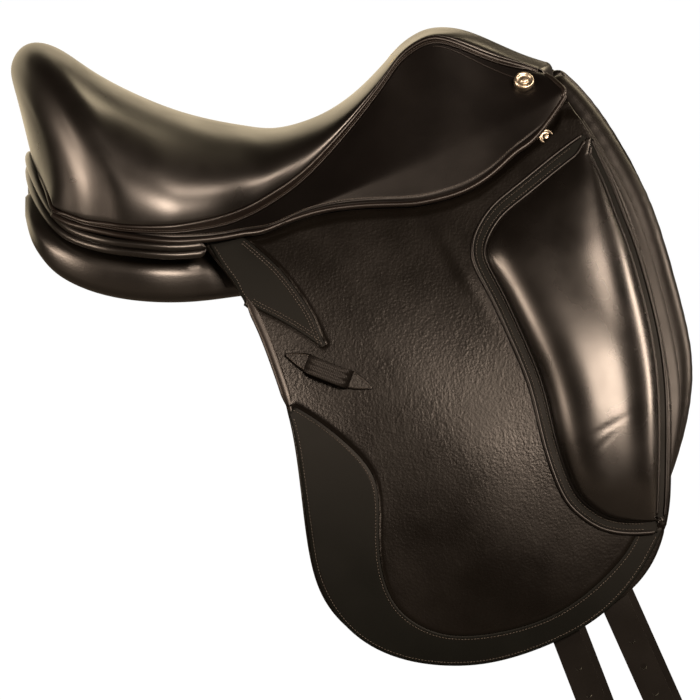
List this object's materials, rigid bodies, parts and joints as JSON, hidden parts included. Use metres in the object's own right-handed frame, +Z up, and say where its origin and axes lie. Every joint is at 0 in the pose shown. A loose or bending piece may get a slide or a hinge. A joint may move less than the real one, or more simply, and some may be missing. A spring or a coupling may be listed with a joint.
{
  "type": "dressage saddle",
  "caption": "Deep-seated dressage saddle with padded seat, straight flaps, external thigh blocks, panels, stirrup bars and girth straps.",
  "frame": {"origin": "on the centre plane, on the roof of the gullet under the lowest point of the seat, where the horse's spine or a rack lies", "axes": "+X to the horse's head, +Y to its left side, +Z up"},
  "size_m": [0.6266, 0.421, 0.7631],
  "materials": {
    "beech": "satin",
    "spring_steel": "satin",
    "forged_steel": "polished",
    "chrome": "polished",
    "foam": "matte",
    "webbing": "matte",
    "black_webbing": "matte",
    "smooth_leather": "gloss",
    "strap_leather": "satin",
    "black_leather": "satin"
  },
  "bodies": {
    "frame": {"tree": "beech", "cantle_board": "beech", "head_plate": "spring_steel", "spring_strips": "spring_steel", "seat_webs": "webbing", "gullet_lining": "strap_leather", "seat_foam": "foam", "seat_cover": "black_leather", "seat_welt": "black_leather", "pommel_facing": "black_leather", "cantle_facing": "black_leather", "bar_rivets": "forged_steel", "head_studs": "chrome", "flap_studs": "chrome", "stirrup_bar_left": "forged_steel", "stirrup_bar_right": "forged_steel", "catch_pin_left": "forged_steel", "catch_pin_right": "forged_steel", "panel_left": "black_leather", "panel_right": "black_leather", "front_roll_left": "smooth_leather", "front_roll_right": "smooth_leather", "point_pocket_left": "strap_leather", "point_pocket_right": "strap_leather", "sweat_flap_left": "strap_leather", "sweat_flap_right": "strap_leather", "girth_web_left": "webbing", "girth_web_right": "webbing", "billet_front_left": "strap_leather", "billet_front_right": "strap_leather", "billet_rear_left": "strap_leather", "billet_rear_right": "strap_leather", "flap_head_left": "black_leather", "flap_head_right": "black_leather", "skirt_head_left": "black_leather", "skirt_head_right": "black_leather"},
    "skirt_left": {"skirt_left": "black_leather"},
    "flap_left": {"flap_left": "black_leather", "flap_border_left": "smooth_leather", "flap_corner_left": "smooth_leather", "thigh_block_left": "smooth_leather", "keeper_loop_left": "black_webbing", "keeper_tabs_left": "smooth_leather"},
    "bar_catch_left": {"bar_catch_left": "forged_steel"},
    "tail_front_left": {"tail_front_left": "strap_leather"},
    "tail_rear_left": {"tail_rear_left": "strap_leather"},
    "skirt_right": {"skirt_right": "black_leather"},
    "flap_right": {"flap_right": "black_leather", "flap_border_right": "smooth_leather", "flap_corner_right": "smooth_leather", "thigh_block_right": "smooth_leather", "keeper_loop_right": "black_webbing", "keeper_tabs_right": "smooth_leather"},
    "bar_catch_right": {"bar_catch_right": "forged_steel"},
    "tail_front_right": {"tail_front_right": "strap_leather"},
    "tail_rear_right": {"tail_rear_right": "strap_leather"}
  },
  "joints": [
    {"name": "flap_lift_left", "type": "hinge", "parent": "frame", "child": "flap_left", "pos_m": [-0.012, 0.12512, -0.003], "axis": [0.9106, -0.1976, 0.3629], "range_deg": [0, 70]},
    {"name": "skirt_lift_left", "type": "hinge", "parent": "frame", "child": "skirt_left", "pos_m": [-0.012, 0.12512, -0.003], "axis": [0.9106, -0.1976, 0.3629], "range_deg": [0, 75]},
    {"name": "catch_turn_left", "type": "hinge", "parent": "frame", "child": "bar_catch_left", "pos_m": [0.123, 0.0789, 0.0315], "axis": [0, 1, 0], "range_deg": [0, 85]},
    {"name": "tail_swing_front_left", "type": "hinge", "parent": "frame", "child": "tail_front_left", "pos_m": [0.29, 0.1872, -0.349], "axis": [0.9205, 0, 0.3907], "range_deg": [-8, 100]},
    {"name": "tail_swing_rear_left", "type": "hinge", "parent": "frame", "child": "tail_rear_left", "pos_m": [0.244, 0.1918, -0.371], "axis": [0.9397, 0, 0.342], "range_deg": [-8, 100]},
    {"name": "flap_lift_right", "type": "hinge", "parent": "frame", "child": "flap_right", "pos_m": [-0.012, -0.12512, -0.003], "axis": [-0.9106, -0.1976, -0.3629], "range_deg": [0, 70]},
    {"name": "skirt_lift_right", "type": "hinge", "parent": "frame", "child": "skirt_right", "pos_m": [-0.012, -0.12512, -0.003], "axis": [-0.9106, -0.1976, -0.3629], "range_deg": [0, 75]},
    {"name": "catch_turn_right", "type": "hinge", "parent": "frame", "child": "bar_catch_right", "pos_m": [0.123, -0.0789, 0.0315], "axis": [0, 1, 0], "range_deg": [0, 85]},
    {"name": "tail_swing_front_right", "type": "hinge", "parent": "frame", "child": "tail_front_right", "pos_m": [0.29, -0.1872, -0.349], "axis": [-0.9205, 0, -0.3907], "range_deg": [-8, 100]},
    {"name": "tail_swing_rear_right", "type": "hinge", "parent": "frame", "child": "tail_rear_right", "pos_m": [0.244, -0.1918, -0.371], "axis": [-0.9397, 0, -0.342], "range_deg": [-8, 100]}
  ]
}
